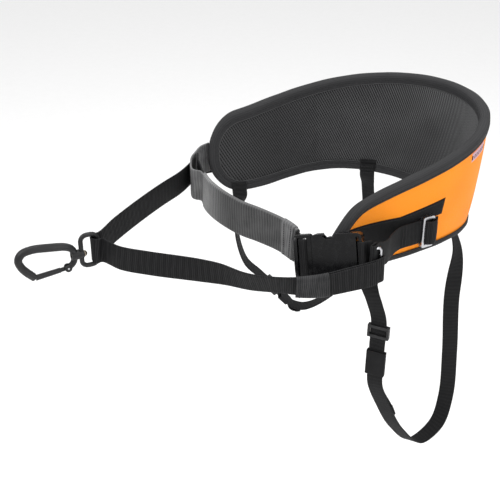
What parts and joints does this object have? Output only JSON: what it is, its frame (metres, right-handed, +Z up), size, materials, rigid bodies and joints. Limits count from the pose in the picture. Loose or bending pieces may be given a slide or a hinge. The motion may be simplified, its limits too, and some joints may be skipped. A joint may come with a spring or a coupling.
{
  "type": "padded towing hip belt with leg loops",
  "caption": "Padded hip belt that wraps the hips, with a front waist strap and side-release buckle, leg loops, and a V-shaped towing strap ending in a ring and swivel snap hook",
  "frame": {"origin": "centre of the waist opening, midway along the pad's front-to-back length, at the height of the pad's middle", "axes": "+Z up along the wearer's body, -Y towards the wearer's front where the towing strap leads, +X to the wearer's left where the buckle is"},
  "size_m": [0.3735, 0.587, 0.4539],
  "materials": {
    "orange_cloth": "smooth woven cloth",
    "foam": "closed-cell foam, hidden",
    "spacer_mesh": "open spacer mesh",
    "binding_tape": "ribbed edge tape",
    "black_webbing": "cross-ribbed webbing",
    "grey_webbing": "soft grey tubular webbing",
    "elastic_band": "elastic band",
    "label_cloth": "plain woven label",
    "gloss_black_plastic": "moulded acetal",
    "matte_grey_plastic": "moulded nylon",
    "black_metal": "black anodised",
    "bright_metal": "bright steel",
    "rivet_metal": "dull bronze plated"
  },
  "bodies": {
    "root": {"outer_cover": "orange_cloth", "foam_core": "foam", "mesh_lining": "spacer_mesh", "edge_binding": "binding_tape", "side_patch_left": "black_webbing", "side_patch_right": "black_webbing", "blank_label": "label_cloth", "buckle_socket": "gloss_black_plastic", "waist_sleeve": "grey_webbing", "waist_web": "black_webbing", "hip_web_left": "black_webbing", "hip_web_right": "black_webbing", "tow_strap": "black_webbing", "tow_tail_left": "black_webbing", "side_ring_left": "bright_metal", "side_ring_right": "bright_metal", "leg_tab_left": "black_webbing", "leg_tab_right": "black_webbing"},
    "plug": {"buckle_plug": "gloss_black_plastic"},
    "prong_upper": {"plug_prong_upper": "gloss_black_plastic"},
    "prong_lower": {"plug_prong_lower": "gloss_black_plastic"},
    "hip_slider_l": {"hip_slider_left": "bright_metal"},
    "hip_slider_r": {"hip_slider_right": "bright_metal"},
    "ring": {"d_ring": "black_metal"},
    "hook": {"carabiner_body": "black_metal", "gate_pin": "bright_metal", "swivel_rivet": "rivet_metal"},
    "gate": {"carabiner_gate": "black_metal"},
    "leg_left": {"leg_strap_left": "black_webbing"},
    "leg_slider_l": {"leg_slider_left": "matte_grey_plastic"},
    "leg_keeper_l": {"leg_keeper_left": "elastic_band"},
    "leg_right": {"leg_strap_right": "black_webbing"},
    "leg_slider_r": {"leg_slider_right": "matte_grey_plastic"},
    "leg_keeper_r": {"leg_keeper_right": "elastic_band"}
  },
  "joints": [
    {"name": "plug_release", "type": "slide", "parent": "root", "child": "plug", "axis": [-0.6871, -0.7017, -0.1884], "range_m": [0, 0.04]},
    {"name": "prong_upper_squeeze", "type": "hinge", "parent": "plug", "child": "prong_upper", "pos_m": [0.13436, -0.15189, -0.01399], "axis": [0.6332, -0.7055, 0.3182], "range_deg": [-6, 0], "stiffness_Nm_per_rad": 0.05},
    {"name": "prong_lower_squeeze", "type": "hinge", "parent": "plug", "child": "prong_lower", "pos_m": [0.14554, -0.15502, -0.04316], "axis": [0.6332, -0.7055, 0.3182], "range_deg": [0, 6], "stiffness_Nm_per_rad": 0.05},
    {"name": "hip_slider_left_adjust", "type": "slide", "parent": "root", "child": "hip_slider_l", "axis": [-0.0383, 0.9993, 0.0007], "range_m": [-0.004, 0.004]},
    {"name": "hip_slider_right_adjust", "type": "slide", "parent": "root", "child": "hip_slider_r", "axis": [0.1025, 0.9943, -0.0294], "range_m": [-0.004, 0.004]},
    {"name": "ring_swing", "type": "hinge", "parent": "root", "child": "ring", "pos_m": [0, -0.3495, -0.036], "axis": [0, 0, 1], "range_deg": [-24, 24]},
    {"name": "hook_swivel", "type": "hinge", "parent": "ring", "child": "hook", "pos_m": [0, -0.372, -0.039], "axis": [0, 1, 0], "continuous": true},
    {"name": "gate_open", "type": "hinge", "parent": "hook", "child": "gate", "pos_m": [0, -0.385, -0.0523], "axis": [-1, 0, 0], "range_deg": [0, 27], "stiffness_Nm_per_rad": 0.02, "springref_deg": -17.19},
    {"name": "leg_loop_left_swing", "type": "hinge", "parent": "root", "child": "leg_left", "pos_m": [0.099, 0.0856, -0.077], "axis": [0.1742, -0.9847, 0], "range_deg": [-25, 25]},
    {"name": "leg_loop_right_swing", "type": "hinge", "parent": "root", "child": "leg_right", "pos_m": [-0.104, 0.075, -0.077], "axis": [-0.1576, -0.9875, 0], "range_deg": [-25, 25]},
    {"name": "leg_slider_left_adjust", "type": "slide", "parent": "leg_left", "child": "leg_slider_l", "axis": [-0.0036, 0.0209, 0.9998], "range_m": [-0.008, 0.003]},
    {"name": "leg_keeper_left_adjust", "type": "slide", "parent": "leg_left", "child": "leg_keeper_l", "axis": [-0.0044, 0.0189, 0.9998], "range_m": [-0.003, 0.008]},
    {"name": "leg_slider_right_adjust", "type": "slide", "parent": "leg_right", "child": "leg_slider_r", "axis": [-0.1048, -0.6408, 0.7605], "range_m": [-0.004, 0.004]},
    {"name": "leg_keeper_right_adjust", "type": "slide", "parent": "leg_right", "child": "leg_keeper_r", "axis": [-0.105, -0.6404, 0.7608], "range_m": [-0.003, 0.003]}
  ],
  "couplings": [
    {"joint": "prong_lower_squeeze", "follows": "prong_upper_squeeze", "ratio": -1}
  ]
}
